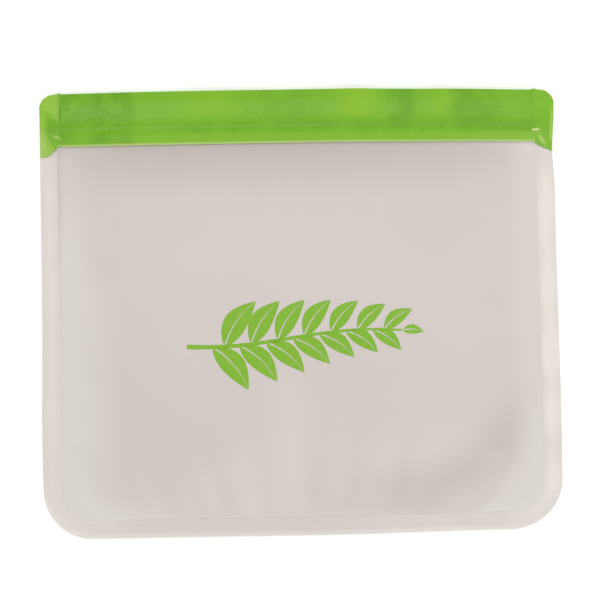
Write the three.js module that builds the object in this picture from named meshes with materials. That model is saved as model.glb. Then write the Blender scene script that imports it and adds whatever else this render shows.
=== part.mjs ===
// A flat reusable food bag with a press-to-close mouth, lying on its back, closed and empty.
// Two film panels are heat-welded along both sides and the bottom. The mouth is a pair of coloured strips,
// which carry two lock lines: a rib on the front strip presses into a channel on the back strip in each.
// Units are millimetres. +Z points out of the front panel, +Y towards the mouth, +X to the right, and the
// origin is the middle of the face that the bag rests on.

import * as THREE from "three";

// Driving dimensions
const BAG_WIDTH = 215;
const BAG_LENGTH = 187;
const BOTTOM_CORNER_RADIUS = 20;
const TOP_CORNER_RADIUS = 6;
const WELD_WIDTH = 7.5;
const FILM_THICKNESS = 0.4;
const BELLY_HEIGHT = 8.5;

const STRIP_HEIGHT = 22.5;
const STRIP_THICKNESS = 0.8;
const STRIP_CHAMFER = 0.2;
const FILM_ON_STRIP = 2;
const LOWER_LOCK_ABOVE_STRIP_EDGE = 3.8;
const LOCK_PITCH = 4;

const END_WELD_WIDTH = 8.9;
const END_WELD_THICKNESS = 2.2;
const END_WELD_TIP = 4.5;

const CHANNEL_WIDTH = 2.8;
const CHANNEL_HEIGHT = 1.35;
const CHANNEL_WALL = 0.45;
const CHANNEL_FLOOR = 0.35;
const CHANNEL_HOOK = 0.25;
const RIB_BASE_WIDTH = 2.2;
const RIB_BASE_HEIGHT = 0.35;
const RIB_STEM_WIDTH = 0.5;
const RIB_HEAD_WIDTH = 1;
const RIB_HEAD_HEIGHT = 0.4;

// Clearances: WELD_GAP parts two pieces that are welded face to face, SIDE_GAP parts edges that stand side by
// side, and LOCK_GAP is what a rib keeps from the top and the floor of its channel.
const WELD_GAP = 0.05;
const SIDE_GAP = 0.3;
const LOCK_GAP = 0.15;

// Places that follow from the driving dimensions
const HALF_WIDTH = BAG_WIDTH / 2;
const HALF_LENGTH = BAG_LENGTH / 2;
const POCKET_HALF_WIDTH = HALF_WIDTH - WELD_WIDTH;
const POCKET_BOTTOM = -HALF_LENGTH + WELD_WIDTH;
const CORNER_TOP = -HALF_LENGTH + BOTTOM_CORNER_RADIUS;
const STRIP_EDGE = HALF_LENGTH - STRIP_HEIGHT;
const STRIP_HALF_WIDTH = HALF_WIDTH - END_WELD_WIDTH - SIDE_GAP;
const END_WELD_BOTTOM = STRIP_EDGE - END_WELD_TIP;
const SIDE_WELD_TOP = END_WELD_BOTTOM - SIDE_GAP;
const PANEL_TOP = STRIP_EDGE - SIDE_GAP;
const FILM_TOP = STRIP_EDGE + FILM_ON_STRIP;
const WELD_UNDERSIDE = FILM_THICKNESS + WELD_GAP;
const CHANNEL_UNDERSIDE = STRIP_THICKNESS + WELD_GAP;
const CHANNEL_TOP = CHANNEL_UNDERSIDE + CHANNEL_HEIGHT;
const RIB_BASE_TOP = CHANNEL_TOP + LOCK_GAP + RIB_BASE_HEIGHT;
const FRONT_STRIP_UNDERSIDE = RIB_BASE_TOP + WELD_GAP;
const FRONT_FILM_TOP_UNDERSIDE = FRONT_STRIP_UNDERSIDE - WELD_GAP - FILM_THICKNESS;
const LOCK_LINES = {
  lower: STRIP_EDGE + LOWER_LOCK_ABOVE_STRIP_EDGE,
  upper: STRIP_EDGE + LOWER_LOCK_ABOVE_STRIP_EDGE + LOCK_PITCH,
};

// How finely curved outlines and the front panel's belly are cut into flat facets
const ARC_STEPS = 8;
const PANEL_ROWS = 18;
const PANEL_COLUMNS = 24;
const BELLY_POWER = 3;
const RISE_DELAY_POWER = 4;

const materials = {
  film: new THREE.MeshStandardMaterial({ color: 0xd8d0ca, roughness: 0.45, transparent: true, opacity: 0.8 }),
  weld: new THREE.MeshStandardMaterial({ color: 0xe3dcd6, roughness: 0.35, transparent: true, opacity: 0.7 }),
  strip: new THREE.MeshStandardMaterial({ color: 0x80b83c, roughness: 0.4 }),
  lock: new THREE.MeshStandardMaterial({ color: 0x78b038, roughness: 0.35 }),
};

const clamp01 = (value) => Math.min(1, Math.max(0, value));
const smooth = (value) => value * value * (3 - 2 * value);

// How far up the slanted lower edges of the end welds a height is, from 0 to 1. A panel gets narrower there.
function pastSideWelds(y) {
  return clamp01((y - SIDE_WELD_TOP) / (PANEL_TOP - SIDE_WELD_TOP));
}

// Evenly spaced values from start to end, both included
function steps(start, end, count) {
  return Array.from({ length: count + 1 }, (_, i) => start + ((end - start) * i) / count);
}

// The rows of a panel that starts in two rounded corners: close together up the arcs, then even up to the top
function panelRows(bottom, radius, top, topRows) {
  const arc = steps(0, Math.PI / 2, ARC_STEPS).map((angle) => bottom + radius * (1 - Math.cos(angle)));
  return [...arc, ...steps(bottom + radius, top, topRows).slice(1)];
}

// Half the width of a panel with rounded bottom corners, at height y
function roundedHalfWidth(y, bottom, radius, halfWidth) {
  const below = Math.max(0, radius - (y - bottom));
  return halfWidth - radius + Math.sqrt(radius * radius - below * below);
}

// A closed sheet of even thickness. Each row of facets runs across the sheet at one y, to halfWidthAt(y) on
// both sides, and undersideAt(y, across) gives its height, where across runs from -1 to 1.
function sheetGeometry({ rows, columns, halfWidthAt, undersideAt, thickness }) {
  const across = steps(-1, 1, columns);
  const perRow = across.length;
  const perFace = rows.length * perRow;
  const positions = [];
  for (const lift of [thickness, 0]) {
    for (const y of rows) {
      for (const u of across) {
        positions.push(u * halfWidthAt(y), y, undersideAt(y, u) + lift);
      }
    }
  }
  const index = [];
  for (let i = 0; i + 1 < rows.length; i++) {
    for (let j = 0; j + 1 < perRow; j++) {
      const a = i * perRow + j;
      const [b, c, d] = [a + 1, a + perRow + 1, a + perRow];
      index.push(a, b, c, a, c, d);
      index.push(a + perFace, c + perFace, b + perFace, a + perFace, d + perFace, c + perFace);
    }
  }
  const last = rows.length - 1;
  const rim = [
    ...across.map((_, j) => j),
    ...rows.slice(1).map((_, i) => (i + 1) * perRow + perRow - 1),
    ...across.slice(1).map((_, j) => last * perRow + perRow - 2 - j),
    ...rows.slice(1, -1).map((_, i) => (last - 1 - i) * perRow),
  ];
  rim.forEach((p, k) => {
    const q = rim[(k + 1) % rim.length];
    index.push(q, p, p + perFace, q, p + perFace, q + perFace);
  });
  const geometry = new THREE.BufferGeometry();
  geometry.setAttribute("position", new THREE.Float32BufferAttribute(positions, 3));
  geometry.setIndex(index);
  geometry.computeVertexNormals();
  return geometry;
}

// The back panel lies on the table. Past the side welds it steps up onto the inside of the back strip.
function backFilm() {
  const rows = [
    ...panelRows(-HALF_LENGTH, BOTTOM_CORNER_RADIUS, SIDE_WELD_TOP, 2),
    PANEL_TOP,
    STRIP_EDGE,
    FILM_TOP,
  ];
  const halfWidthAt = (y) => {
    const trim = (HALF_WIDTH - STRIP_HALF_WIDTH) * pastSideWelds(y);
    return roundedHalfWidth(y, -HALF_LENGTH, BOTTOM_CORNER_RADIUS, HALF_WIDTH) - trim;
  };
  const undersideAt = (y) => CHANNEL_UNDERSIDE * pastSideWelds(y);
  return sheetGeometry({ rows, columns: 1, halfWidthAt, undersideAt, thickness: FILM_THICKNESS });
}

// The front panel swells from its welded edges into a low belly and rises to the inside of the front strip.
// Towards its sides it rises later, because there it is held down by the side welds.
function frontFilm() {
  const bottom = POCKET_BOTTOM + SIDE_GAP;
  const radius = BOTTOM_CORNER_RADIUS - WELD_WIDTH - SIDE_GAP;
  const halfWidth = POCKET_HALF_WIDTH - SIDE_GAP;
  const rows = [...panelRows(bottom, radius, SIDE_WELD_TOP, PANEL_ROWS), PANEL_TOP, FILM_TOP];
  const halfWidthAt = (y) => {
    const trim = (halfWidth - STRIP_HALF_WIDTH) * pastSideWelds(y);
    return roundedHalfWidth(y, bottom, radius, halfWidth) - trim;
  };
  const middle = (bottom + PANEL_TOP) / 2;
  const undersideAt = (y, across) => {
    const riseStart = middle + (SIDE_WELD_TOP - middle) * Math.abs(across) ** RISE_DELAY_POWER;
    const towardsMouth = smooth(clamp01((y - riseStart) / (PANEL_TOP - riseStart)));
    const base = WELD_UNDERSIDE + (FRONT_FILM_TOP_UNDERSIDE - WELD_UNDERSIDE) * towardsMouth;
    const lengthwise = 1 - Math.min(1, Math.abs(y - middle) / (middle - bottom)) ** BELLY_POWER;
    return base + BELLY_HEIGHT * lengthwise * (1 - Math.abs(across) ** BELLY_POWER);
  };
  return sheetGeometry({ rows, columns: PANEL_COLUMNS, halfWidthAt, undersideAt, thickness: FILM_THICKNESS });
}

// A flat piece of the given outline
function plate(shape, thickness) {
  const options = { depth: thickness, bevelEnabled: false, curveSegments: ARC_STEPS };
  return new THREE.ExtrudeGeometry(shape, options);
}

// The fused margin along the bottom, round both corners
function bottomWeld() {
  const outer = BOTTOM_CORNER_RADIUS;
  const inner = BOTTOM_CORNER_RADIUS - WELD_WIDTH;
  const corner = HALF_WIDTH - BOTTOM_CORNER_RADIUS;
  const shape = new THREE.Shape();
  shape.absarc(-corner, CORNER_TOP, outer, Math.PI, 1.5 * Math.PI, false);
  shape.absarc(corner, CORNER_TOP, outer, 1.5 * Math.PI, 2 * Math.PI, false);
  shape.absarc(corner, CORNER_TOP, inner, 2 * Math.PI, 1.5 * Math.PI, true);
  shape.absarc(-corner, CORNER_TOP, inner, 1.5 * Math.PI, Math.PI, true);
  return plate(shape, FILM_THICKNESS);
}

// The fused margin up the right side, from the corner to the end weld
function sideWeld() {
  const shape = new THREE.Shape();
  shape.moveTo(POCKET_HALF_WIDTH, CORNER_TOP + SIDE_GAP);
  shape.lineTo(HALF_WIDTH, CORNER_TOP + SIDE_GAP);
  shape.lineTo(HALF_WIDTH, SIDE_WELD_TOP);
  shape.lineTo(POCKET_HALF_WIDTH, SIDE_WELD_TOP);
  return plate(shape, FILM_THICKNESS);
}

// The right end of the mouth, where both strips and their locks are crushed and melted together
function endWeld() {
  const inner = HALF_WIDTH - END_WELD_WIDTH;
  const radius = TOP_CORNER_RADIUS;
  const shape = new THREE.Shape();
  shape.moveTo(inner, STRIP_EDGE);
  shape.lineTo(HALF_WIDTH, END_WELD_BOTTOM);
  shape.absarc(HALF_WIDTH - radius, HALF_LENGTH - radius, radius, 0, Math.PI / 2, false);
  shape.lineTo(inner, HALF_LENGTH);
  return plate(shape, END_WELD_THICKNESS);
}

// A length of the mouth's extrusion: its section is drawn as [towards the mouth, up] points.
function extrusion(section) {
  const shape = new THREE.Shape(section.map(([along, up]) => new THREE.Vector2(along, up)));
  return new THREE.ExtrudeGeometry(shape, { depth: 2 * STRIP_HALF_WIDTH, bevelEnabled: false });
}

// A strip's section: a flat band with chamfered edges
function stripSection() {
  const cut = STRIP_CHAMFER;
  return [
    [cut, 0],
    [STRIP_HEIGHT - cut, 0],
    [STRIP_HEIGHT, cut],
    [STRIP_HEIGHT, STRIP_THICKNESS - cut],
    [STRIP_HEIGHT - cut, STRIP_THICKNESS],
    [cut, STRIP_THICKNESS],
    [0, STRIP_THICKNESS - cut],
    [0, cut],
  ];
}

// A whole section from the points of its right half. The left half follows, mirrored and in reverse order.
function mirroredSection(half) {
  return [...half, ...half.map(([along, up]) => [-along, up]).reverse()];
}

// A channel's section: a floor and two walls whose tops hook inwards
function channelSection() {
  const outer = CHANNEL_WIDTH / 2;
  const inner = outer - CHANNEL_WALL;
  const hookStart = CHANNEL_HEIGHT - CHANNEL_WALL;
  return mirroredSection([
    [outer, 0],
    [outer, CHANNEL_HEIGHT],
    [inner - CHANNEL_HOOK, CHANNEL_HEIGHT],
    [inner, hookStart],
    [inner, CHANNEL_FLOOR],
  ]);
}

// A rib's section, head down: an arrow head, a stem and a base that is welded to the front strip
function ribSection() {
  const tip = CHANNEL_UNDERSIDE + CHANNEL_FLOOR + LOCK_GAP - RIB_BASE_TOP;
  const halfTip = RIB_STEM_WIDTH / 2;
  return mirroredSection([
    [halfTip, tip],
    [RIB_HEAD_WIDTH / 2, tip + RIB_HEAD_HEIGHT / 2],
    [halfTip, tip + RIB_HEAD_HEIGHT],
    [halfTip, -RIB_BASE_HEIGHT],
    [RIB_BASE_WIDTH / 2, -RIB_BASE_HEIGHT],
    [RIB_BASE_WIDTH / 2, 0],
  ]);
}

function piece(name, geometry, material) {
  const mesh = new THREE.Mesh(geometry, material);
  mesh.name = name;
  return mesh;
}

// An extruded piece laid across the bag, with its section's origin at [y, z]
function laidAcross(name, section, material, y, z) {
  const mesh = piece(name, extrusion(section), material);
  mesh.rotation.set(Math.PI / 2, Math.PI / 2, 0);
  mesh.position.set(-STRIP_HALF_WIDTH, y, z);
  return mesh;
}

// The same piece on the right and, mirrored, on the left, with its underside at height z
function bothSides(name, geometryOf, material, z) {
  return [
    ["right", 1],
    ["left", -1],
  ].map(([side, direction]) => {
    const mesh = piece(`${side}_${name}`, geometryOf(), material);
    mesh.scale.x = direction;
    mesh.position.z = z;
    return mesh;
  });
}

// Everything that stays on the table: the back panel and its strip, and the welds that close the sides
function backHalf() {
  const group = new THREE.Group();
  group.add(piece("back_film", backFilm(), materials.film));
  const bottom = piece("bottom_weld", bottomWeld(), materials.weld);
  bottom.position.z = WELD_UNDERSIDE;
  group.add(bottom);
  group.add(...bothSides("side_weld", sideWeld, materials.weld, WELD_UNDERSIDE));
  group.add(...bothSides("end_weld", endWeld, materials.strip, 0));
  group.add(laidAcross("back_zip_strip", stripSection(), materials.strip, STRIP_EDGE, 0));
  for (const [line, y] of Object.entries(LOCK_LINES)) {
    group.add(laidAcross(`${line}_lock_channel`, channelSection(), materials.lock, y, CHANNEL_UNDERSIDE));
  }
  return group;
}

// Everything that lifts when the mouth is pulled open: the front panel, its strip and the ribs
function frontHalf() {
  const group = new THREE.Group();
  group.add(piece("front_film", frontFilm(), materials.film));
  const stripAt = [STRIP_EDGE, FRONT_STRIP_UNDERSIDE];
  group.add(laidAcross("front_zip_strip", stripSection(), materials.strip, ...stripAt));
  for (const [line, y] of Object.entries(LOCK_LINES)) {
    group.add(laidAcross(`${line}_lock_rib`, ribSection(), materials.lock, y, RIB_BASE_TOP));
  }
  return group;
}

const bag = new THREE.Group();
bag.add(backHalf(), frontHalf());

export default bag;
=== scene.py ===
# A flat reusable zip bag, lying on its back on a pale floor and seen from straight above.
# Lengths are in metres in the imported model's frame: +X runs along the mouth, +Y towards the mouth, +Z up.
import math

import bmesh
import bpy
import numpy as np
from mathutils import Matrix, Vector


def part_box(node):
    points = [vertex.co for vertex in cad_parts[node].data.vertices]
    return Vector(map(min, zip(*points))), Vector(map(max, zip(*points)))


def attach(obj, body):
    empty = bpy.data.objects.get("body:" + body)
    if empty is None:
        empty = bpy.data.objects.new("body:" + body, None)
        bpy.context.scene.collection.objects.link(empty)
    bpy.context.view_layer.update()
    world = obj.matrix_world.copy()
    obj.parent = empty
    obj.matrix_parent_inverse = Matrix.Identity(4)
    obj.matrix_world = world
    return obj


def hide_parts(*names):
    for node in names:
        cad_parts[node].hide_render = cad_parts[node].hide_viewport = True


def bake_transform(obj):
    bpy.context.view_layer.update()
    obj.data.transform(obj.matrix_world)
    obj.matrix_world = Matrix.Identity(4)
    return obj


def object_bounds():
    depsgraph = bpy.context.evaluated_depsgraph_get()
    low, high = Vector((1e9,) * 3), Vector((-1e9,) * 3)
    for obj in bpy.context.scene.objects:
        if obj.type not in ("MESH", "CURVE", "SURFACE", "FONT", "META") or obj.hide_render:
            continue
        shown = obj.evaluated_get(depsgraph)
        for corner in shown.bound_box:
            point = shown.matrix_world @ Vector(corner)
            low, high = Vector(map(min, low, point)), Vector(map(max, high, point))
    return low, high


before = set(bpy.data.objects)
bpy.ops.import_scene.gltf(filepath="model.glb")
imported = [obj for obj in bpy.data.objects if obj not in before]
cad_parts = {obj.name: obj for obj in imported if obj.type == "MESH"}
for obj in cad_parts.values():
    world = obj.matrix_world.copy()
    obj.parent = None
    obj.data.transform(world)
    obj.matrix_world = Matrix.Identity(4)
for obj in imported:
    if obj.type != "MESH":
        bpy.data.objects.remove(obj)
cad_low, cad_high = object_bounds()
MM = 0.001

# Places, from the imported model
HALF_WIDTH = cad_high.x
BOTTOM, TOP = cad_low.y, cad_high.y
POCKET_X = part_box("right_side_weld")[0].x
WELD_WIDTH = HALF_WIDTH - POCKET_X
POCKET_BOTTOM = BOTTOM + WELD_WIDTH
SIDE_WELD_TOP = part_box("right_side_weld")[1].y
WELD_LOW, WELD_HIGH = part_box("bottom_weld")[0].z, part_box("bottom_weld")[1].z
END_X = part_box("right_end_weld")[0].x
STRIP_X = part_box("front_zip_strip")[1].x
STRIP_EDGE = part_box("front_zip_strip")[0].y
STRIP_HEIGHT = TOP - STRIP_EDGE
BACK_STRIP_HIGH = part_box("back_zip_strip")[1].z
FRONT_STRIP_LOW, FRONT_STRIP_HIGH = (corner.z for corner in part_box("front_zip_strip"))
FILM_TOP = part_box("front_film")[1].y
CHANNEL_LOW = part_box("lower_lock_channel")[0].z
UPPER_LOCK, LOWER_LOCK = (sum(c.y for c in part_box(f"{line}_lock_channel")) / 2 for line in ("upper", "lower"))
FILM_THICKNESS = WELD_HIGH - WELD_LOW

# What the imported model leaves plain
CORNER_RADIUS = {-1: 20 * MM, 1: 21.5 * MM}  # bottom left and bottom right
TOP_CORNER_RADIUS = 6 * MM
BELLY = 8 * MM
BELLY_POWER = 2.6
BELLY_RISE = 72 * MM  # from the bottom weld to the belly's top
BELLY_FALL = 78 * MM  # from the belly's top to the neck
NECK = 15 * MM  # where the panels lie together, between the belly and the strips
EDGE_COLUMNS = (0.0, 0.0006, 0.0018, 0.004)  # shares of a half width, where a slab's edge is rounded
INTO_WELD = 0.1 * MM  # how far the front panel reaches into the welds
BACK_BASE_SHARE = 0.3  # the share of the film's base tone in the back panel's colour, the same all over
SHARP_EDGE = math.radians(65)
MERGE_DISTANCE = 1e-7

# The simulated film, which gives the front panel its small folds
CLOTH_ROWS, CLOTH_COLUMNS = 60, 76
CLOTH_SLACK = 0.0035  # how much longer and wider the film is than the welds let it lie
CLOTH_FRAMES = 40
CLOTH_QUALITY = 10
STRETCH_STIFFNESS, SHEAR_STIFFNESS, BEND_STIFFNESS = 40, 20, 30
START_SHARE = 0.5  # the film's height at the start, as a share of the belly's
START_RIPPLE = 0.1 * MM
AIR_LIFT = 0.5  # the pull of the air in the pocket, upwards, as an acceleration
FOLD_BLUR = 60  # passes of blur, after which only the large shape is left
PUCKER_SHARE = 0.7  # of the simulated folds' height
LEAST_HEIGHT = 0.4  # of the panel's smooth height, below which no fold dips


def smooth(value):
    value = np.clip(value, 0, 1)
    return value * value * (3 - 2 * value)


def ramp(value, start, end):
    """0 before start, 1 after end, and smooth between them."""
    return smooth((value - start) / (end - start))


def hump(value, centre, width):
    return np.exp(-(((value - centre) / width) ** 2))


def waves(seed, count, shortest, longest):
    """A smooth random field of x and y, from about -1 to 1, made of plain waves."""
    rng = np.random.default_rng(seed)
    length = rng.uniform(shortest, longest, count)
    turn = rng.uniform(0, 2 * math.pi, count)
    start = rng.uniform(0, 2 * math.pi, count)

    def field(x, y):
        total = 0 * x
        for wave in range(count):
            along = x * math.cos(turn[wave]) + y * math.sin(turn[wave])
            total = total + np.sin(2 * math.pi * along / length[wave] + start[wave])
        return total / math.sqrt(count)

    return field


# ---------------------------------------------------------------- mesh building


def lie(x, y):
    """Where a point of a perfectly square bag lies in this slightly relaxed one."""
    up = (y - BOTTOM) / (TOP - BOTTOM)
    across = x / HALF_WIDTH
    # Sideways, in mm: wider at the bottom, further left at the top, and drawn in below the right end weld
    sideways = (0.5 + 0.6 * ramp(across, 0.5, 1)) * across - (0.45 + 0.7 * across) * ramp(up, 0.2, 0.75)
    sideways = sideways - 0.7 * ramp(-across, 0.5, 1) * hump(up, 0.22, 0.2)
    sideways = sideways - 0.9 * ramp(across, 0.8, 1) * hump(up, 0.86, 0.05)
    # Lengthways, in mm: the mouth sags towards both ends, and the bottom edge rises to the right
    droop = 0.4 + 0.6 * ramp(-across, 0.5, 1.1) + 0.9 * ramp(across, 0.1, 0.7) + 0.8 * ramp(across, 0.6, 0.95)
    droop = -droop * np.clip(up, 0, 1) ** 3
    rise = (0.2 + 1.1 * ramp(across, 0.1, 0.8)) * (1 - np.clip(up, 0, 1)) ** 3
    return x + MM * sideways, y + MM * (droop + rise)


def cells(number):
    """The four-cornered faces between the points of a numbered grid."""
    return np.stack([number[:-1, :-1], number[:-1, 1:], number[1:, 1:], number[1:, :-1]], -1).reshape(-1, 4)


def slab(name, x, y, low, high, material, values=None):
    """A closed soft sheet on a grid: x, y and its lower and upper heights are arrays of one shape."""
    x, y = lie(x, y)
    rows, columns = x.shape
    count = rows * columns
    points = np.concatenate([np.stack([x, y, z], -1).reshape(-1, 3) for z in (high, low)])
    number = np.arange(count).reshape(rows, columns)
    top = cells(number)
    rim = np.concatenate([number[0, :-1], number[:-1, -1], number[-1, :0:-1], number[:0:-1, 0]])
    following = np.roll(rim, -1)
    side = np.stack([following, rim, rim + count, following + count], -1)
    mesh = bpy.data.meshes.new(name)
    mesh.from_pydata(points.tolist(), [], np.concatenate([top, top[:, ::-1] + count, side]).tolist())
    for label, value in (values or {}).items():
        both_faces = np.tile(np.broadcast_to(value, x.shape).ravel(), 2)
        mesh.attributes.new(label, "FLOAT", "POINT").data.foreach_set("value", both_faces.astype(np.float32))
    return finished(name, mesh, material)


def finished(name, mesh, material):
    """The mesh as an object, with coincident points merged, faces pointing out and smooth shading."""
    bm = bmesh.new()
    bm.from_mesh(mesh)
    bmesh.ops.remove_doubles(bm, verts=bm.verts[:], dist=MERGE_DISTANCE)
    bmesh.ops.recalc_face_normals(bm, faces=bm.faces[:])
    bm.to_mesh(mesh)
    bm.free()
    mesh.shade_smooth()
    mesh.set_sharp_from_angle(angle=SHARP_EDGE)
    mesh.materials.append(material)
    obj = bpy.data.objects.new(name, mesh)
    bpy.context.scene.collection.objects.link(obj)
    return obj


def rounded(distance, radius):
    """The share of its full thickness that a sheet has at a distance from its rounded edge."""
    inwards = 1 - np.clip(distance / radius, 0, 1)
    return np.sqrt(1 - inwards**2)


def with_edges(count):
    """Values from -1 to 1, 0 among them, closer together at both ends."""
    edge = np.array(EDGE_COLUMNS)
    inner = np.linspace(-1 + 2 * EDGE_COLUMNS[-1], 1 - 2 * EDGE_COLUMNS[-1], 2 * count + 1)
    return np.concatenate([-1 + edge, inner, (1 - edge)[::-1]])


def cut(bm, x, direction=1, clear_inner=False):
    """Cuts a mesh along the plane at x."""
    everything = bm.verts[:] + bm.edges[:] + bm.faces[:]
    bmesh.ops.bisect_plane(
        bm, geom=everything, plane_co=(x, 0, 0), plane_no=(direction, 0, 0), clear_inner=clear_inner
    )


def bend_with_mouth(piece):
    """Cuts a piece along its middle line and joins its two halves again, with the points on the cut merged."""
    name, halves = piece.name, []
    for side in (-1, 1):
        half = piece.copy()
        half.data = piece.data.copy()
        bpy.context.scene.collection.objects.link(half)
        bm = bmesh.new()
        bm.from_mesh(half.data)
        cut(bm, 0, side, clear_inner=True)
        bm.to_mesh(half.data)
        bm.free()
        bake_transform(half)
        halves.append(half)
    bpy.data.objects.remove(piece)
    whole = halves[0]
    with bpy.context.temp_override(active_object=whole, selected_editable_objects=halves):
        bpy.ops.object.join()
    bm = bmesh.new()
    bm.from_mesh(whole.data)
    seam = [vertex for vertex in bm.verts if abs(vertex.co.x) < MERGE_DISTANCE]
    bmesh.ops.remove_doubles(bm, verts=seam, dist=10 * MERGE_DISTANCE)
    bm.to_mesh(whole.data)
    bm.free()
    whole.name = name
    return whole


# ---------------------------------------------------------------- materials


def new_material(name, roughness, **sockets):
    """A Principled material. Returns it with its node tree and shader."""
    material = bpy.data.materials.new(name)
    material.use_nodes = True
    shader = material.node_tree.nodes["Principled BSDF"]
    shader.inputs["Roughness"].default_value = roughness
    for socket, value in sockets.items():
        shader.inputs[socket.replace("_", " ")].default_value = value
    return material, material.node_tree, shader


def noise(tree, scale, detail=3.0, roughness=0.5, stretch=(1, 1, 1)):
    """A noise texture in the object's own space. scale is in cells to the metre."""
    place = tree.nodes.new("ShaderNodeTexCoord")
    mapping = tree.nodes.new("ShaderNodeMapping")
    mapping.inputs["Scale"].default_value = stretch
    texture = tree.nodes.new("ShaderNodeTexNoise")
    texture.inputs["Scale"].default_value = scale
    texture.inputs["Detail"].default_value = detail
    texture.inputs["Roughness"].default_value = roughness
    tree.links.new(place.outputs["Object"], mapping.inputs["Vector"])
    tree.links.new(mapping.outputs["Vector"], texture.inputs["Vector"])
    return texture.outputs["Fac"]


def attribute(tree, name):
    node = tree.nodes.new("ShaderNodeAttribute")
    node.attribute_name = name
    return node.outputs["Fac"]


def remap(tree, value, start, end, low=0.0, high=1.0):
    node = tree.nodes.new("ShaderNodeMapRange")
    node.interpolation_type = "SMOOTHSTEP"
    for socket, number in (("From Min", start), ("From Max", end), ("To Min", low), ("To Max", high)):
        node.inputs[socket].default_value = number
    tree.links.new(value, node.inputs["Value"])
    return node.outputs["Result"]


def calculate(tree, operation, first, second):
    node = tree.nodes.new("ShaderNodeMath")
    node.operation = operation
    for socket, value in zip(node.inputs, (first, second)):
        if isinstance(value, float):
            socket.default_value = value
        else:
            tree.links.new(value, socket)
    return node.outputs["Value"]


def mixed(tree, share, first, second):
    """A colour between two. Each is an (r, g, b) tuple or a node's output."""
    node = tree.nodes.new("ShaderNodeMix")
    node.data_type = "RGBA"
    tree.links.new(share, node.inputs["Factor"])
    for socket, colour in ((node.inputs[6], first), (node.inputs[7], second)):
        if isinstance(colour, tuple):
            socket.default_value = (*colour, 1)
        else:
            tree.links.new(colour, socket)
    return node.outputs[2]


def bump(tree, shader, height, distance, strength):
    node = tree.nodes.new("ShaderNodeBump")
    node.inputs["Strength"].default_value = strength
    node.inputs["Distance"].default_value = distance
    tree.links.new(height, node.inputs["Height"])
    tree.links.new(node.outputs["Normal"], shader.inputs["Normal"])


# Film tones: the paler one is the back panel's own colour and, on the front panel, painted light; the darkest
# one is painted shade.
FILM_PALE_AND_PAINTED_LIGHT = (0.79, 0.745, 0.70)
FILM_BASE_TONE = (0.722, 0.652, 0.622)
FILM_PAINTED_SHADE = (0.45, 0.40, 0.36)
WELD_CLEAR = (0.91, 0.86, 0.80)
WELD_CLOUDY = (0.76, 0.70, 0.665)
GREEN = (0.187, 0.445, 0.026)
GREEN_DEEP = (0.128, 0.340, 0.018)
GREEN_BRIGHT = (0.255, 0.505, 0.028)
GREEN_PALE = (0.42, 0.60, 0.15)
# near white, for painted glints
GREEN_PAINTED_GLINT = (0.85, 0.95, 0.65)
INK = (0.215, 0.46, 0.028)
TABLE = (0.93, 0.93, 0.915)
TABLE_BRIGHT = (0.95, 0.95, 0.935)
WARM_WHITE = (1, 1, 0.99, 1)


def film_material():
    """Frosted film: paler with painted light at the front panel's sides and bottom corners, darker with painted
    shade, cloudy at random, with a fine matt grain.
    """
    gloss = {"Specular_IOR_Level": 0.35, "Coat_Weight": 0.4, "Coat_Roughness": 0.25}
    material, tree, shader = new_material("frosted_film", 0.5, Alpha=0.86, **gloss)
    cloud = remap(tree, noise(tree, 28, 4), 0.3, 0.7, -0.06, 0.06)
    # Below 1 the share of the base tone brings in the paler tone, which on the front panel is painted light.
    lifted = calculate(tree, "ADD", attribute(tree, "base_share"), cloud)
    body = mixed(tree, lifted, FILM_PALE_AND_PAINTED_LIGHT, FILM_BASE_TONE)
    # the deep attribute darkens the film with painted shade
    tree.links.new(mixed(tree, attribute(tree, "deep"), body, FILM_PAINTED_SHADE), shader.inputs["Base Color"])
    tree.links.new(remap(tree, noise(tree, 90, 3), 0.3, 0.7, 0.42, 0.56), shader.inputs["Roughness"])
    bump(tree, shader, noise(tree, 1800, 2), 0.00004, 0.5)
    return material


def weld_material():
    """Fused film: glossier than the panels, clear in some places and cloudy in others, with painted light up
    the right side and painted shade along the left margin's inner edge.
    """
    material, tree, shader = new_material("fused_film", 0.36, Alpha=0.8, Specular_IOR_Level=0.4)
    cloud = remap(tree, noise(tree, 60, 4), 0.3, 0.7, -0.08, 0.08)
    clear = calculate(tree, "ADD", attribute(tree, "clear"), cloud)
    body = mixed(tree, clear, WELD_CLOUDY, WELD_CLEAR)
    # deep darkens the fused film with painted shade
    tree.links.new(mixed(tree, attribute(tree, "deep"), body, FILM_PAINTED_SHADE), shader.inputs["Base Color"])
    tree.links.new(remap(tree, noise(tree, 140, 3), 0.3, 0.7, 0.28, 0.44), shader.inputs["Roughness"])
    bump(tree, shader, noise(tree, 900, 2), 0.00005, 0.5)
    return material


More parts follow.
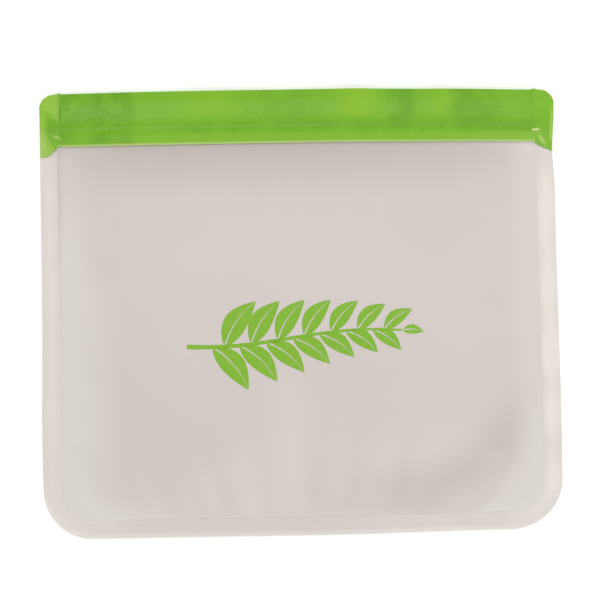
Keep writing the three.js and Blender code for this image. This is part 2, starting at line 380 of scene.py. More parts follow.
def strip_material():
    """Lime plastic: deep and mottled where it clings, bright where parted, pale where thin or melted, near
    white where a painted glint lies. The same values also carry painted sheen, highlights and shade.
    """
    material, tree, shader = new_material("lime_strip", 0.4, Specular_IOR_Level=0.2, Coat_Roughness=0.07)
    body = mixed(tree, attribute(tree, "apart"), GREEN, GREEN_BRIGHT)
    blotch = remap(tree, noise(tree, 140, 5, 0.6), 0.32, 0.62, 0.25, 1.0)
    speck = remap(tree, noise(tree, 620, 4, 0.6), 0.3, 0.7, 0.65, 1.0)
    cling = calculate(tree, "MULTIPLY", attribute(tree, "cling"), calculate(tree, "MULTIPLY", blotch, speck))
    body = mixed(tree, cling, body, GREEN_DEEP)
    body = mixed(tree, attribute(tree, "pale"), body, GREEN_PALE)
    # pale past 1 is a painted glint, mixed towards near white
    painted_glint_share = calculate(tree, "SUBTRACT", attribute(tree, "pale"), 1.0)
    body = mixed(tree, painted_glint_share, body, GREEN_PAINTED_GLINT)
    tree.links.new(body, shader.inputs["Base Color"])
    tree.links.new(remap(tree, noise(tree, 120, 3), 0.3, 0.7, 0.36, 0.48), shader.inputs["Roughness"])
    tree.links.new(attribute(tree, "melted"), shader.inputs["Coat Weight"])
    bump(tree, shader, noise(tree, 500, 3), 0.00006, 0.4)
    return material


def lock_material():
    """The same plastic, smooth from the extrusion die, with faint lines along its length."""
    material, tree, shader = new_material("lime_lock", 0.32)
    drawn = noise(tree, 1500, 2, stretch=(0.02, 1, 1))
    tree.links.new(mixed(tree, remap(tree, drawn, 0.3, 0.7), GREEN, GREEN_DEEP), shader.inputs["Base Color"])
    bump(tree, shader, drawn, 0.00004, 0.5)
    return material


def ink_material():
    """Screen-printed ink: flat lime, a little thin in places."""
    material, tree, shader = new_material("lime_ink", 0.5, Alpha=0.97, Specular_IOR_Level=0.3)
    thin = remap(tree, noise(tree, 700, 3), 0.45, 0.75, 0.0, 0.25)
    tree.links.new(mixed(tree, thin, INK, GREEN_PALE), shader.inputs["Base Color"])
    bump(tree, shader, noise(tree, 2500, 2), 0.00002, 0.5)
    return material


def floor_material():
    """A white table lit a little from below, so that it shows almost no shadow."""
    glow = {"Emission_Color": WARM_WHITE, "Emission_Strength": 0.18}
    material, tree, shader = new_material("light_table", 0.8, **glow)
    tone = remap(tree, noise(tree, 3, 2), 0.3, 0.7)
    tree.links.new(mixed(tree, tone, TABLE, TABLE_BRIGHT), shader.inputs["Base Color"])
    return material


film, weld, lime = film_material(), weld_material(), strip_material()
lock, ink = lock_material(), ink_material()

# ---------------------------------------------------------------- the film panels


def half_width(side, y, bottom, width, inset):
    """Half a panel's width at height y, on the left (-1) or right (1), with its bottom corner rounded."""
    radius = CORNER_RADIUS[side] - inset
    below = np.clip(radius - (y - bottom), 0, radius)
    return width - radius + np.sqrt(radius**2 - below**2)


def pocket_edges(y):
    """Half the pocket's width at height y, on its left and on its right."""
    return [half_width(side, y, POCKET_BOTTOM, POCKET_X, WELD_WIDTH) for side in (-1, 1)]


def panel_grid(bottom, top, width, inset, narrow, rows, columns):
    """x and y of a panel's grid, and distances from its edge. Above the side welds the panel is narrow."""
    radius = max(CORNER_RADIUS.values()) - inset
    arc = bottom + radius * (1 - np.cos(np.linspace(0, math.pi / 2, 20)))
    rest = np.linspace(bottom + radius, top, rows)[1:]
    last = top - FILM_THICKNESS * np.array([0.35, 0.12])
    y = np.sort(np.concatenate([arc, rest, last]))
    across = with_edges(columns)
    trim = (width - narrow) * ramp(y, SIDE_WELD_TOP, STRIP_EDGE)
    left, right = (half_width(side, y, bottom, width, inset) - trim for side in (-1, 1))
    x = np.where(across < 0, left[:, None], right[:, None]) * across
    y = np.broadcast_to(y[:, None], x.shape)
    from_side = np.where(across < 0, left[:, None] + x, right[:, None] - x)
    return x, y, np.minimum(from_side, np.minimum(y - bottom, top - y))


gentle = waves(seed=11, count=7, shortest=70 * MM, longest=150 * MM)
ripple = waves(seed=5, count=6, shortest=16 * MM, longest=34 * MM)
unsteady = waves(seed=3, count=5, shortest=18 * MM, longest=60 * MM)


def across_pocket(x, y):
    """How far a point is from the pocket's middle line (0) to its side welds (1)."""
    left, right = pocket_edges(y)
    return np.clip(np.abs(x) / np.where(x < 0, left, right), 0, 1)


def belly_share(x, y):
    """The belly's height as a share of its highest. It leaves the welds at an angle and ends at the neck."""
    rise = 1 - (1 - np.clip((y - POCKET_BOTTOM) / BELLY_RISE, 0, 1)) ** BELLY_POWER
    fall = smooth((STRIP_EDGE - NECK - y) / BELLY_FALL)
    return rise * fall * (1 - across_pocket(x, y) ** BELLY_POWER)


def neck_share(x, y):
    """How far the panel has climbed from the back one (0) to the strip (1): later beside the end welds."""
    start = STRIP_EDGE - NECK + (NECK - (STRIP_EDGE - SIDE_WELD_TOP)) * across_pocket(x, y) ** 6
    return np.clip((y - start) / (STRIP_EDGE - start), 0, 1) ** 2


def neck_climb(x, y):
    """How far the panel's middle has climbed from its height at the welds."""
    return (FRONT_STRIP_LOW - 0.75 * FILM_THICKNESS - (WELD_LOW + WELD_HIGH) / 2) * neck_share(x, y)


def cloth_grid():
    """x and y of the simulated film, from weld to weld and from the bottom weld to the strips."""
    y = np.linspace(POCKET_BOTTOM, STRIP_EDGE, CLOTH_ROWS + 1)[:, None]
    across = np.linspace(-1, 1, CLOTH_COLUMNS + 1)[None, :]
    left, right = pocket_edges(y)
    x = np.where(across < 0, left, right) * across
    return x, np.broadcast_to(y, x.shape)


def simulated_film():
    """Heights of a stiff film, pinned at its welds and a little too big for them, lifted by air inside."""
    x, y = cloth_grid()
    z = belly_share(x, y) * (START_SHARE * BELLY + START_RIPPLE * ripple(x, y))
    number = np.arange(x.size).reshape(x.shape)
    mesh = bpy.data.meshes.new("slack_film")
    mesh.from_pydata(np.stack([x, y, z], -1).reshape(-1, 3).tolist(), [], cells(number).tolist())
    sheet = bpy.data.objects.new("slack_film", mesh)
    scene = bpy.context.scene
    scene.collection.objects.link(sheet)
    rim = np.concatenate([number[0], number[-1], number[:, 0], number[:, -1]])
    sheet.vertex_groups.new(name="welded").add(rim.tolist(), 1.0, "REPLACE")
    modifier = sheet.modifiers.new("cloth", "CLOTH")
    modifier.collision_settings.use_collision = False
    modifier.point_cache.frame_end = CLOTH_FRAMES
    settings = modifier.settings
    settings.vertex_group_mass = "welded"
    settings.quality = CLOTH_QUALITY
    settings.tension_stiffness = settings.compression_stiffness = STRETCH_STIFFNESS
    settings.shear_stiffness = SHEAR_STIFFNESS
    settings.bending_stiffness = BEND_STIFFNESS
    settings.shrink_min = settings.shrink_max = -CLOTH_SLACK
    gravity = scene.gravity.copy()
    scene.gravity = (0, 0, AIR_LIFT)
    for step in range(1, CLOTH_FRAMES + 1):
        scene.frame_set(step)
    settled = sheet.evaluated_get(bpy.context.evaluated_depsgraph_get()).to_mesh()
    points = np.empty(3 * x.size, dtype=np.float32)
    settled.vertices.foreach_get("co", points)
    scene.gravity = gravity
    scene.frame_set(1)
    bpy.data.objects.remove(sheet)
    return points[2::3].reshape(x.shape).astype(float)


def blurred(values, passes):
    """A grid of values after each has been mixed with the four beside it, over and over."""
    for _ in range(passes):
        wider = np.pad(values, 1, mode="reflect", reflect_type="odd")
        beside = wider[:-2, 1:-1] + wider[2:, 1:-1] + wider[1:-1, :-2] + wider[1:-1, 2:]
        values = values / 2 + beside / 8
    return values


def between_cells(values, row, column):
    """A smooth value between the points of the simulated grid, at fractional rows and columns."""

    def weight(distance):
        near = (4 - 6 * distance**2 + 3 * distance**3) / 6
        far = np.clip(2 - distance, 0, None) ** 3 / 6
        return np.where(distance < 1, near, far)

    total = 0
    first_row, first_column = np.floor(row).astype(int), np.floor(column).astype(int)
    for i in range(-1, 3):
        for j in range(-1, 3):
            at_row, at_column = first_row + i, first_column + j
            value = values[np.clip(at_row, 0, CLOTH_ROWS), np.clip(at_column, 0, CLOTH_COLUMNS)]
            total = total + value * weight(np.abs(row - at_row)) * weight(np.abs(column - at_column))
    return total


film_heights = simulated_film()
film_puckers = film_heights - blurred(film_heights, FOLD_BLUR)


def puckers(x, y):
    """The folds that the simulated film makes where its welds gather it, calmer in the upper half."""
    left, right = pocket_edges(y)
    across = np.clip(x / np.where(x < 0, left, right), -1, 1)
    row = np.clip((y - POCKET_BOTTOM) / (STRIP_EDGE - POCKET_BOTTOM), 0, 1) * CLOTH_ROWS
    calm = 1 - 0.6 * ramp(y, 0, 45 * MM)
    return calm * between_cells(film_puckers, row, (across + 1) / 2 * CLOTH_COLUMNS)


def front_height(x, y):
    """The middle of the front panel's thickness: a low soft belly between the welds and the strip."""
    welded = (WELD_LOW + WELD_HIGH) / 2
    share = belly_share(x, y)
    fullness = 1.2 * MM * hump(x, 60 * MM, 30 * MM) * hump(y, -38 * MM, 26 * MM)
    slack = 0.8 * MM * gentle(x, y)
    raised = neck_climb(x, y) + share * (BELLY + slack + fullness)
    return welded + np.maximum(raised + PUCKER_SHARE * puckers(x, y), LEAST_HEIGHT * raised)


def painted_light(x, y):
    """Painted light, up to 1: the panel is made lighter at its sides and bottom corners, and in a patch low in
    its middle.
    """
    left, right = pocket_edges(y)
    reach = np.where(x < 0, 15 * MM + 15 * MM * ramp(-y, -30 * MM, 0), 15 * MM)
    beside = 1 - ramp(np.where(x < 0, left, right) - np.abs(x), 3 * MM, reach)
    on_left = 1 - 0.75 * ramp(y, 15 * MM, 60 * MM)
    on_right = 0.6 + 0.4 * ramp(-y, 25 * MM, 55 * MM)
    beside = beside * np.where(x < 0, on_left, on_right)
    # painted light beyond the belly's foot at the bottom corners
    corner = ramp(from_pillow(x, y), 1.12, 1.45)
    # painted light in a patch low in the middle
    lit_fold = 0.26 * hump(x, -3 * MM, 9 * MM) * hump(y, -50 * MM, 26 * MM)
    return np.maximum(beside, corner) + lit_fold


def from_pillow(x, y):
    """Distance from the middle of the slack pillow of film at the bottom: 1 along the pillow's foot."""
    across = np.clip(np.abs(x) - 44 * MM, 0, None) / (48 * MM)
    down = np.clip(-20 * MM - y, 0, None) / (55 * MM)
    return np.hypot(across, down)


def painted_shade(x, y):
    """Painted shade on the front panel: darker under the strips, along the belly's foot at the bottom right,
    along the bottom weld, beside the left weld and in two small patches.
    """
    below = STRIP_EDGE - y
    towards_right = 1 - 0.3 * ramp(x, 10 * MM, 90 * MM) - 0.25 * ramp(x, 72 * MM, 92 * MM)
    # painted shade fading downwards from the strips, and a painted shadow just under their edge
    slant_shade = 0.5 * np.clip(1 - below / (24 * MM), 0, 1) ** 1.3 * towards_right
    shadow = 0.12 * np.exp(-below / (1.6 * MM))
    shade_below_strip = (slant_shade + shadow) * (1 - across_pocket(x, y) ** 6)
    # painted shade along the foot of the belly, at the bottom right
    trough_shade = 0.38 * hump(from_pillow(x, y), 1.0, 0.19) * ramp(x, 0, 60 * MM) * ramp(-y, 20 * MM, 75 * MM)
    # painted shade along the bottom weld
    foot = 0.07 * hump(y, POCKET_BOTTOM + 3 * MM, 5 * MM) * ramp(x, -20 * MM, 10 * MM)
    foot = foot + 0.1 * hump(y, POCKET_BOTTOM + 12 * MM, 9 * MM) * hump(x, 4 * MM, 17 * MM)
    # painted shade along the inner edge of the left weld
    shade_beside_weld = 0.20 * hump(x, -POCKET_X, 1.6 * MM) * ramp(y, -20 * MM, 60 * MM)
    # painted shade in two small patches
    hollow = 0.03 * hump(x, -38 * MM, 16 * MM) * hump(y, -55 * MM, 24 * MM)
    dimple_shade = 0.08 * hump(x, 54 * MM, 14 * MM) * hump(y, 35 * MM, 14 * MM)
    return shade_below_strip + trough_shade + foot + hollow + dimple_shade + shade_beside_weld


def make_front_film():
    bottom, width = POCKET_BOTTOM - INTO_WELD, POCKET_X + INTO_WELD
    x, y, inside = panel_grid(bottom, FILM_TOP, width, WELD_WIDTH, STRIP_X, rows=100, columns=64)
    middle = front_height(x, y)
    half = FILM_THICKNESS / 2 * rounded(inside, FILM_THICKNESS / 2)
    # painted light, as a share of the base tone, and painted shade, for the film material
    values = {"base_share": 1 - painted_light(x, y), "deep": painted_shade(x, y)}
    piece = slab("front_film_sheet", x, y, middle - half, middle + half, film, values)
    piece = bend_with_mouth(piece)
    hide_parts("front_film")


def make_back_film():
    x, y, inside = panel_grid(BOTTOM, FILM_TOP, HALF_WIDTH, 0, STRIP_X, rows=60, columns=40)
    low = CHANNEL_LOW * ramp(y, SIDE_WELD_TOP, STRIP_EDGE)
    middle = low + FILM_THICKNESS / 2
    half = FILM_THICKNESS / 2 * rounded(inside, FILM_THICKNESS / 2)
    piece = slab("back_film_sheet", x, y, middle - half, middle + half, film, {"base_share": BACK_BASE_SHARE})
    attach(piece, "back")
    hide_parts("back_film")


# ---------------------------------------------------------------- the fused margins

# The grid lines across a margin, from its inner edge (0) to its outer edge (1)
WELD_SHARES = np.concatenate([[0, 0.01, 0.03], np.linspace(0.05, 0.94, 24), [0.97, 0.99, 1]])
WELD_UNEVENNESS = 0.05 * MM


def weld_relief(share):
    """Height added across a fused margin, from its inner edge (0) to its outer edge (1)."""
    t = share * WELD_WIDTH
    line = -0.08 * hump(t, 0.2 * MM, 0.3 * MM) + 0.05 * hump(t, 1.1 * MM, 0.5 * MM)
    bars = 0.03 * hump(t, 2.6 * MM, 0.5 * MM) + 0.04 * hump(t, 5.2 * MM, 0.6 * MM)
    bead = 0.05 * hump(t, WELD_WIDTH - 0.5 * MM, 0.4 * MM)
    return MM * (line + bars + bead)


def clearness_and_painted_light(x, y, share):
    """How clear the fused film is: clearer up the middle of each side and along the bottom's outer edge. Up the
    right side it is made clearer than on the left, which is painted light.
    """
    on_left = ramp(y, BOTTOM - 12 * MM, BOTTOM + 40 * MM)
    on_right = ramp(y, BOTTOM - 20 * MM, BOTTOM + 24 * MM)
    along_side = ramp(np.abs(x), 62 * MM, 100 * MM) * np.where(x < 0, on_left, on_right)
    along_side = along_side * (1 - 0.4 * ramp(y, 54 * MM, 66 * MM))
    patchy = 1 + 0.22 * unsteady(y, 0 * y) - 0.35 * ramp(y, 40 * MM, 66 * MM)
    # the right side's larger share is painted light
    up_side = np.where(x < 0, 0.6, 1.05 * patchy) * along_side * (0.65 + 0.45 * hump(share, 0.5, 0.3))
    along_bottom = 0.35 * ramp(-x, 55 * MM, 90 * MM)
    along_bottom = along_bottom + 0.25 * hump(x, 52 * MM, 22 * MM) + 0.1 * hump(x, 92 * MM, 12 * MM)
    along_bottom = along_bottom * (1 - ramp(y, BOTTOM + 8 * MM, BOTTOM + 30 * MM))
    return up_side + along_bottom + 0.45 * ramp(share, 0.68, 0.85) * (1 - along_side)


def weld_slab(name, x, y, node):
    """A margin from its grid, whose columns run from the inner to the outer edge."""
    share = np.broadcast_to(WELD_SHARES, x.shape)
    uneven = WELD_UNEVENNESS * ripple(x, y)
    edge = rounded((1 - share) * WELD_WIDTH, FILM_THICKNESS)
    thickness = (FILM_THICKNESS + weld_relief(share) + uneven * rounded(share * WELD_WIDTH, MM)) * edge
    lifted = neck_climb(x, y) * (1 - share) ** 2
    low = WELD_LOW + (FILM_THICKNESS / 2) * (1 - edge) + lifted
    # painted shade along the inner edge of the left margin, over its groove
    line = 0.24 * hump(share, 0.02, 0.07) * ramp(y, -20 * MM, 60 * MM) * ramp(-x, 0, HALF_WIDTH)
    values = {"clear": clearness_and_painted_light(x, y, share), "deep": line}
    piece = slab(name, x, y, low, low + thickness, weld, values)
    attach(piece, "back")
    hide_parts(node)


def make_side_weld(label, side):
    y = np.linspace(BOTTOM + CORNER_RADIUS[side], STRIP_EDGE, 110)[:, None]
    inner = POCKET_X - (POCKET_X - STRIP_X) * ramp(y, SIDE_WELD_TOP, STRIP_EDGE)
    x = side * (inner + (HALF_WIDTH - inner) * WELD_SHARES[None, :])
    x, y = np.broadcast_arrays(x, y)
    weld_slab(f"{label}_side_margin", x, y, f"{label}_side_weld")


def make_bottom_weld():
    """The margin round both bottom corners, swept from the left side to the right."""
    x, y = [], []
    across = WELD_WIDTH * WELD_SHARES
    for side in (-1, 1):
        inner = CORNER_RADIUS[side] - WELD_WIDTH
        centre = side * (HALF_WIDTH - CORNER_RADIUS[side]), BOTTOM + CORNER_RADIUS[side]
        for turn in np.linspace(0, math.pi / 2, 24)[::-side]:
            x.append(centre[0] + side * (inner + across) * math.cos(turn))
            y.append(centre[1] - (inner + across) * math.sin(turn))
        if side < 0:
            start, end = -(HALF_WIDTH - CORNER_RADIUS[-1]), HALF_WIDTH - CORNER_RADIUS[1]
            for place in np.linspace(start, end, 100)[1:-1]:
                x.append(np.full_like(across, place))
                y.append(POCKET_BOTTOM - across)
    weld_slab("bottom_margin", np.array(x), np.array(y), "bottom_weld")


# ---------------------------------------------------------------- the mouth

STRIP_THICKNESS = FRONT_STRIP_HIGH - FRONT_STRIP_LOW
STRIP_ROUNDING = 0.35 * MM
STRIP_UNEVENNESS = 0.04 * MM
LIP_GAP = 0.08 * MM  # between the two lips where they lie together
RIB_LENGTHS = 81  # short lengths that a rib is cut into
LIP_PARTINGS = (  # where the two lips stand apart: middle, half width, how far
    (-34 * MM, 14 * MM, 0.5),
    (25 * MM, 8 * MM, 1.0),
    (61 * MM, 5 * MM, 0.7),
)
CLINGING_PATCHES = (  # where the lips stick together: middle, half width, how much, and if down to the locks
    (-84 * MM, 16 * MM, 1.2, True),
    (-6 * MM, 20 * MM, 0.3, False),
    (44 * MM, 6 * MM, 0.75, False),
    (75 * MM, 11 * MM, 0.65, False),
)


def lips_apart(x):
    """How far apart the two lips stand along the mouth, from 0, where they touch, to 1."""
    apart = 0.12 + 0.06 * unsteady(x, 0 * x)
    for middle, width, amount in LIP_PARTINGS:
        apart = apart + amount * hump(x, middle, width)
    return np.clip(apart, 0, 1) * (1 - ramp(np.abs(x), 82 * MM, STRIP_X))


def strip_low(x, y):
    """The underside of the front strip: level over the locks, and down to the back strip at the lips."""
    fall = FRONT_STRIP_LOW - BACK_STRIP_HIGH - LIP_GAP
    down = ramp(y, UPPER_LOCK + 1.5 * MM, TOP - 3 * MM)
    return FRONT_STRIP_LOW - fall * down * (1 - 0.85 * lips_apart(x))


def strip_relief(y):
    """The moulded lines on the outside of a strip."""
    groove = -0.20 * hump(y, UPPER_LOCK + 0.1 * MM, 0.65 * MM)
    ridge = 0.10 * hump(y, LOWER_LOCK - 0.8 * MM, 0.5 * MM)
    bead = 0.10 * hump(y, STRIP_EDGE + 0.9 * MM, 0.5 * MM)
    return MM * (groove + ridge + bead)


def strip_thickness(x, y):
    flange = 0.45 + 0.55 * ramp(y, STRIP_EDGE + 0.2 * MM, STRIP_EDGE + 1.3 * MM)
    return (STRIP_THICKNESS * flange + strip_relief(y) + STRIP_UNEVENNESS * ripple(x, y)) * strip_rounding(y)


def strip_rounding(y):
    """The share of its full thickness that a strip has at its two rounded long edges."""
    return rounded(np.minimum(y - STRIP_EDGE, TOP - y), STRIP_ROUNDING)


def strip_grid(rows, columns):
    """x and y of a strip's grid, with its columns closer together at the two long edges."""
    x = np.linspace(-STRIP_X, STRIP_X, 2 * rows + 1)[:, None]
    edge = STRIP_HEIGHT * np.array([0, 0.002, 0.006, 0.012])
    inner = np.linspace(STRIP_EDGE + 0.02 * STRIP_HEIGHT, TOP - 0.02 * STRIP_HEIGHT, columns)
    y = np.concatenate([STRIP_EDGE + edge, inner, (TOP - edge)[::-1]])[None, :]
    return np.broadcast_arrays(x, y)


def clinging_at(x, y):
    """How mottled a strip looks: in patches where the lips stick together, and in a line along the locks."""
    above_locks = ramp(y, UPPER_LOCK - 2 * MM, UPPER_LOCK + 3 * MM)
    along_locks = hump(y, UPPER_LOCK - 1.2 * MM, 2.2 * MM)
    total = 0.15 + 0.6 * along_locks * ramp(x, -62 * MM, -40 * MM)
    for middle, width, amount, reaches_locks in CLINGING_PATCHES:
        share = 1 if reaches_locks else above_locks
        total = total + amount * share * (1 - ramp(np.abs(x - middle), 0.6 * width, 1.25 * width))
    return np.clip(total, 0, 1)


def strip_values(x, y):
    """What the strips' material reads at each point: parted lips, mottling, thin edges, a painted sheen just
    above the lower edge, and no melting.
    """
    lip = ramp(y, UPPER_LOCK + 1 * MM, UPPER_LOCK + 5 * MM)
    # painted sheen just above the lower edge, stronger towards the right end
    painted_sheen = hump(y, STRIP_EDGE + 2.2 * MM, 1.6 * MM) * (0.06 + 0.13 * ramp(x, 50 * MM, 96 * MM))
    return {
        # apart: brighter where the lips part, plus a painted sheen just above the lower edge
        "apart": lips_apart(x) * lip + 0.4 * (1 - lip) * hump(y, STRIP_EDGE + 3 * MM, 2.6 * MM),
        "cling": clinging_at(x, y),
        "pale": 1 - ramp(y, STRIP_EDGE + 0.45 * MM, STRIP_EDGE + 1.15 * MM) + painted_sheen,
        "melted": 0,
    }


def make_front_strip():
    x, y = strip_grid(rows=80, columns=72)
    low = strip_low(x, y) + STRIP_THICKNESS / 2 * (1 - strip_rounding(y))
    high = low + strip_thickness(x, y)
    piece = bend_with_mouth(slab("front_strip_band", x, y, low, high, lime, strip_values(x, y)))
    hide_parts("front_zip_strip")


def make_back_strip():
    x, y = strip_grid(rows=60, columns=48)
    low = BACK_STRIP_HIGH / 2 * (1 - strip_rounding(y))
    high = low + BACK_STRIP_HIGH * strip_rounding(y)
    piece = slab("back_strip_band", x, y, low, high, lime, strip_values(x, y))
    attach(piece, "back")
    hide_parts("back_zip_strip")


def make_lock_rib(line):
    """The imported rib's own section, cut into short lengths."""
    node = f"{line}_lock_rib"
    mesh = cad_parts[node].data.copy()
    mesh.materials.clear()
    bm = bmesh.new()
    bm.from_mesh(mesh)
    for place in np.linspace(-STRIP_X, STRIP_X, RIB_LENGTHS + 1)[1:-1]:
        cut(bm, place)
    for vertex in bm.verts:
        vertex.co.x, vertex.co.y = lie(vertex.co.x, vertex.co.y)
    bm.to_mesh(mesh)
    bm.free()
    piece = bend_with_mouth(finished(f"{node}_flexible", mesh, lock))
    piece.data.shade_flat()
    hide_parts(node)


# ---------------------------------------------------------------- the crushed ends of the mouth


FLAP_DEPTH = {-1: 4.3 * MM, 1: 4.4 * MM}  # how far each end reaches down over its side weld, left and right
MELTED_HEIGHT = 1.35  # in mm, at an end's outer side


def end_grid(side):
    """x and y of an end weld, from its slanted lower edge to its rounded top corner."""
    inner_columns = np.linspace(STRIP_X, HALF_WIDTH - 0.9 * MM, 26)
    outer = np.concatenate([inner_columns, HALF_WIDTH - MM * np.array([0.6, 0.35, 0.15, 0.04, 0])])
    reach = np.clip((outer - STRIP_X) / (HALF_WIDTH - STRIP_X), 0, 1)
    low = STRIP_EDGE - FLAP_DEPTH[side] * np.where(side < 0, smooth(1.25 * reach), reach)
    past = np.clip(outer - (HALF_WIDTH - TOP_CORNER_RADIUS), 0, TOP_CORNER_RADIUS)
    high = TOP - TOP_CORNER_RADIUS + np.sqrt(TOP_CORNER_RADIUS**2 - past**2)
    high = high + 0.5 * MM * hump(outer, STRIP_X + 1 * MM, 1.3 * MM)
    share = np.concatenate([[0, 0.004, 0.012, 0.024], np.linspace(0.04, 0.96, 70), [0.976, 0.988, 0.996, 1]])
    y = low[None, :] + (high - low)[None, :] * share[:, None]
    x = np.broadcast_to(outer[None, :], y.shape)
    inside = np.minimum(HALF_WIDTH - x, np.minimum(y - low, high - y))
    return side * x, y, inside


def crushed_height(side, x, y):
    """The top of an end weld: the strips' own section at its inner side, melted down towards its outer."""
    reach = np.abs(x)
    strips = strip_low(side * STRIP_X + 0 * x, y) + STRIP_THICKNESS + strip_relief(y)
    stubs = 0.6 * hump(y, UPPER_LOCK, 1.3 * MM) + 0.9 * hump(y, LOWER_LOCK - 0.5 * MM, 1.2 * MM)
    stubs = stubs * (1 - ramp(reach, END_X + 1 * MM, END_X + 5 * MM))
    melted = MM * (MELTED_HEIGHT + stubs + 0.12 * ripple(1.7 * x, 1.7 * y))
    share = ramp(reach, STRIP_X, HALF_WIDTH - 1.5 * MM)
    return strips * (1 - share) + melted * share


def left_end(out, up):
    """The left end's folds in mm, its pale places and its mottled ones, some of which are painted light and
    shade.

    out runs outwards from the strips' end, and up runs upwards from their lower edge.
    """
    # a crease, grooved and darkened with painted shade
    crease = hump(out, 0.15 * MM, 0.4 * MM) * ramp(up, 9.5 * MM, 11 * MM) * (1 - ramp(up, 15.5 * MM, 17 * MM))
    hollow = hump(out, 2.6 * MM, 2.4 * MM) * hump(up, 15.5 * MM, 4.6 * MM)
    # a small fold, with a painted glint on it
    lit_fold = hump(up - 0.45 * out, 3.2 * MM, 0.6 * MM) * hump(out, 1.6 * MM, 2 * MM)
    # painted highlight along the outer edge
    outer_edge = ramp(out, 5.4 * MM, 8 * MM) * (1 - ramp(up, 12 * MM, 19 * MM))
    flap = ramp(out - 0.55 * up, 2.4 * MM, 5 * MM) * (1 - ramp(up, 3 * MM, 9 * MM))
    lobe = hump(up, 8.5 * MM, 3 * MM) * hump(out, 3.2 * MM, 2.6 * MM)
    wedge = ramp(up - 0.8 * out, 8.2 * MM, 11.4 * MM) * ramp(out, 0.3 * MM, 0.9 * MM)
    bruise = wedge * (1 + 0.2 * ripple(1.3 * out, up))
    folds = -0.7 * crease - 0.15 * hollow + 0.7 * lit_fold
    # pale: a painted glint and a painted highlight beside the pale wedge and flap; mottled: the lobe, and
    # painted shade in the crease
    return folds, 0.2 * bruise + 0.6 * lit_fold + 0.25 * outer_edge + 0.36 * flap, lobe + crease


def right_end(out, up):
    """The same for the right end, with painted glints on two of its folds and a painted highlight along its
    outer edge.
    """
    step = hump(out, 0.5 * MM, 0.8 * MM) * ramp(up, 15 * MM, 19 * MM)
    dash = hump(up - 0.1 * out, 4.9 * MM, 0.45 * MM) * (1 - ramp(out, 2.2 * MM, 4 * MM))
    curl = hump(up + 1.4 * out, 7.4 * MM, 1.1 * MM) * hump(up, 0.9 * MM, 2 * MM)
    # painted highlight along the outer edge
    edge = ramp(out, 7 * MM, 8.4 * MM) * ramp(up, -2 * MM, 3 * MM) * (1 - ramp(up, 9 * MM, 18 * MM))
    folds = 0.1 * step + 0.7 * dash + 0.5 * curl
    # pale: painted glints on the dash and curl, and the painted edge highlight
    return folds, 1.8 * dash + 0.9 * curl + 0.45 * edge, 0.3 * hump(up, 8 * MM, 2 * MM) + 0 * out


def make_end_weld(label, side):
    x, y, inside = end_grid(side)
    folds, pale, cling = (left_end if side < 0 else right_end)(np.abs(x) - STRIP_X, y - STRIP_EDGE)
    high = crushed_height(side, x, y) + MM * folds
    edge = rounded(inside, 0.7 * MM)
    low = 0.35 * MM * (1 - edge)
    melted = 0.6 * (1 - ramp(y, STRIP_EDGE + 6 * MM, STRIP_EDGE + 11 * MM))
    # apart brightens the green where pale: on thin parts that is real, on the glints and edge highlights it is
    # painted light
    own = {"apart": np.clip(0.2 + 2 * pale, 0, 1), "cling": np.clip(cling, 0, 1), "melted": melted}
    beside = strip_values(side * STRIP_X + 0 * x, y)
    share = ramp(np.abs(x), STRIP_X, STRIP_X + 2.5 * MM)
    values = {name: beside[name] * (1 - share) + own[name] * share for name in own}
    values["pale"] = pale + beside["pale"] * (1 - share)
    piece = slab(f"{label}_end_crushed", x, y, low, low + np.maximum(high - low, 0) * edge, lime, values)
    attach(piece, "back")
    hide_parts(f"{label}_end_weld")


# ---------------------------------------------------------------- the printed sprig

SPRIG_MIDDLE = Vector((0, -10.8 * MM))
SPRIG_HALF_LENGTH = 47 * MM
STEM_SWAY = 3.2 * MM
STEM_TURNS, STEM_START = 2.2, 0.2  # radians to a half length, and at the middle
STEM_END = 0.9  # where the leaf at the tip grows, from -1 to 1 along the stem
LEAF_PAIRS = 7
FIRST_PAIR, PAIR_STEP = -0.72, 0.235  # along the stem
LEAF_SHAPE = 0.21  # a leaf's half width as a share of its length
INK_ABOVE_FILM = 0.05 * MM
INK_THICKNESS = 0.04 * MM


def stem(t):
    """A point of the sprig's stem and its direction, for t from -1 at the cut end to 1 at the tip."""
    x = SPRIG_HALF_LENGTH * t
    y = STEM_SWAY * np.sin(STEM_TURNS * t + STEM_START)
    slope = STEM_SWAY * STEM_TURNS * np.cos(STEM_TURNS * t + STEM_START) / SPRIG_HALF_LENGTH
    return SPRIG_MIDDLE.x + x, SPRIG_MIDDLE.y + y, np.arctan(slope)


def draped(bm, points_x, points_y, faces):
    """Adds faces of ink, laid on the front panel."""
    z = front_height(points_x, points_y) + FILM_THICKNESS / 2 + INK_ABOVE_FILM
    x, y = lie(points_x, points_y)
    made = [bm.verts.new(point) for point in np.stack([x, y, z], -1).reshape(-1, 3)]
    for face in faces:
        bm.faces.new([made[i] for i in face])


def patch(bm, x, y):
    """A grid of ink faces from arrays of x and y of one shape."""
    rows, columns = x.shape
    faces = cells(np.arange(rows * columns).reshape(rows, columns))
    draped(bm, x.ravel(), y.ravel(), faces.tolist())


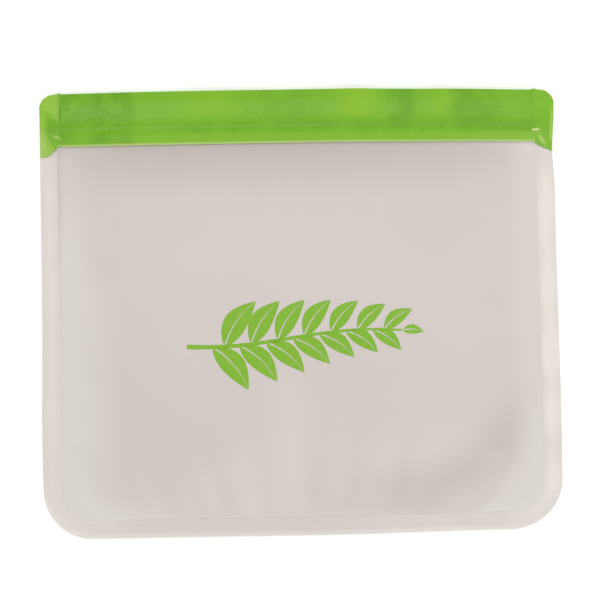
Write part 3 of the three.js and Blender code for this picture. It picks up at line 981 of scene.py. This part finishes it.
def leaf(bm, root_x, root_y, angle, length, width):
    """An almond leaf in two halves, with its midrib left clear."""
    along = np.linspace(0.04, 0.995, 22)[:, None]
    reach = width * np.sin(math.pi * along**0.85) ** 0.9
    rib = 0.28 * MM * (1 - along) + 0.05 * MM
    for side in (-1, 1):
        off = side * (rib + np.maximum(reach - rib, 0.02 * MM) * np.linspace(0, 1, 6)[None, :])
        curl = 0.08 * length * np.sin(math.pi * along)
        forward = length * along + 0 * off
        sideways = off + curl
        x = root_x + forward * math.cos(angle) - sideways * math.sin(angle)
        y = root_y + forward * math.sin(angle) + sideways * math.cos(angle)
        patch(bm, x, y)


def make_sprig():
    """A generic herb sprig in the colour of the strips, where the bag carries its print."""
    bm = bmesh.new()
    t = np.linspace(-1, STEM_END, 60)[:, None]
    x, y, turn = stem(t)
    width = MM * (0.95 - 0.55 * (t + 1) / 2) * np.linspace(-1, 1, 4)[None, :]
    patch(bm, x - width * np.sin(turn), y + width * np.cos(turn))
    for pair in range(LEAF_PAIRS):
        place = FIRST_PAIR + PAIR_STEP * pair
        length = (23 - 1.4 * pair) * MM
        for side in (-1, 1):
            x, y, turn = stem(place + 0.05 * side)
            angle = float(turn) + side * math.radians(52 - 2.5 * pair)
            leaf(bm, float(x), float(y), angle, length, LEAF_SHAPE * length)
    x, y, turn = stem(STEM_END)
    leaf(bm, float(x), float(y), float(turn), 9 * MM, 2 * MM)
    bmesh.ops.recalc_face_normals(bm, faces=bm.faces[:])
    bmesh.ops.solidify(bm, geom=bm.faces[:], thickness=INK_THICKNESS)
    mesh = bpy.data.meshes.new("printed_sprig")
    bm.to_mesh(mesh)
    bm.free()
    piece = bend_with_mouth(finished("printed_sprig", mesh, ink))


# ---------------------------------------------------------------- stage, light and camera

VIEW_HEIGHT = 0.9
VIEW_SPAN = 0.2512  # the width of floor that the camera sees
VIEW_CENTRE = 0, 5 * MM
BAG_ROLL = math.radians(0.95)  # how far the bag is turned in the picture
FLOOR_SIZE = 6
FLOOR_HEIGHT = -0.2 * MM
SKY_BRIGHTNESS = 0.66, 0.245  # low down, and overhead


def make_stage():
    bpy.ops.mesh.primitive_plane_add(size=FLOOR_SIZE, location=(0, 0, FLOOR_HEIGHT))
    floor = bpy.context.object
    floor.name = "floor"
    floor.data.materials.append(floor_material())


def area_light(name, place, size, power):
    """A square light at a place, turned towards the bag."""
    light = bpy.data.lights.new(name, "AREA")
    light.size = size
    light.energy = power
    obj = bpy.data.objects.new(name, light)
    obj.location = place
    obj.rotation_euler = (-Vector(place)).to_track_quat("-Z", "Y").to_euler()
    bpy.context.scene.collection.objects.link(obj)


def make_light():
    """Big soft lights round a darker zenith, so that the glossy green stays saturated from above."""
    world = bpy.data.worlds.new("studio")
    bpy.context.scene.world = world
    world.use_nodes = True
    tree = world.node_tree
    background = tree.nodes["Background"]
    place = tree.nodes.new("ShaderNodeTexCoord")
    parts = tree.nodes.new("ShaderNodeSeparateXYZ")
    tree.links.new(place.outputs["Generated"], parts.inputs["Vector"])
    brightness = remap(tree, parts.outputs["Z"], 0.35, 0.98, *SKY_BRIGHTNESS)
    background.inputs["Color"].default_value = WARM_WHITE
    tree.links.new(brightness, background.inputs["Strength"])
    area_light("key", (-0.3, 1.3, 1.5), 1.2, 16.6)
    area_light("fill", (0.5, -1.3, 1.6), 1.4, 16.6)
    area_light("glint", (0.55, 0.45, 1.1), 0.14, 1.6)


def make_camera():
    """A camera straight above the bag, with the bag turned a little in its picture."""
    camera = bpy.data.cameras.new("camera")
    camera.lens = camera.sensor_width * VIEW_HEIGHT / VIEW_SPAN
    obj = bpy.data.objects.new("camera", camera)
    obj.location = (*VIEW_CENTRE, VIEW_HEIGHT)
    obj.rotation_euler = (0, 0, -BAG_ROLL)
    bpy.context.scene.collection.objects.link(obj)
    bpy.context.scene.camera = obj


make_camera()
make_light()
make_stage()
make_back_film()
make_bottom_weld()
for label, side in (("left", -1), ("right", 1)):
    make_side_weld(label, side)
    make_end_weld(label, side)
make_back_strip()
make_front_film()
make_front_strip()
for line in ("lower", "upper"):
    make_lock_rib(line)
    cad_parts[f"{line}_lock_channel"].material_slots[0].material = lock
make_sprig()

bpy.context.scene.view_settings.view_transform = "Standard"
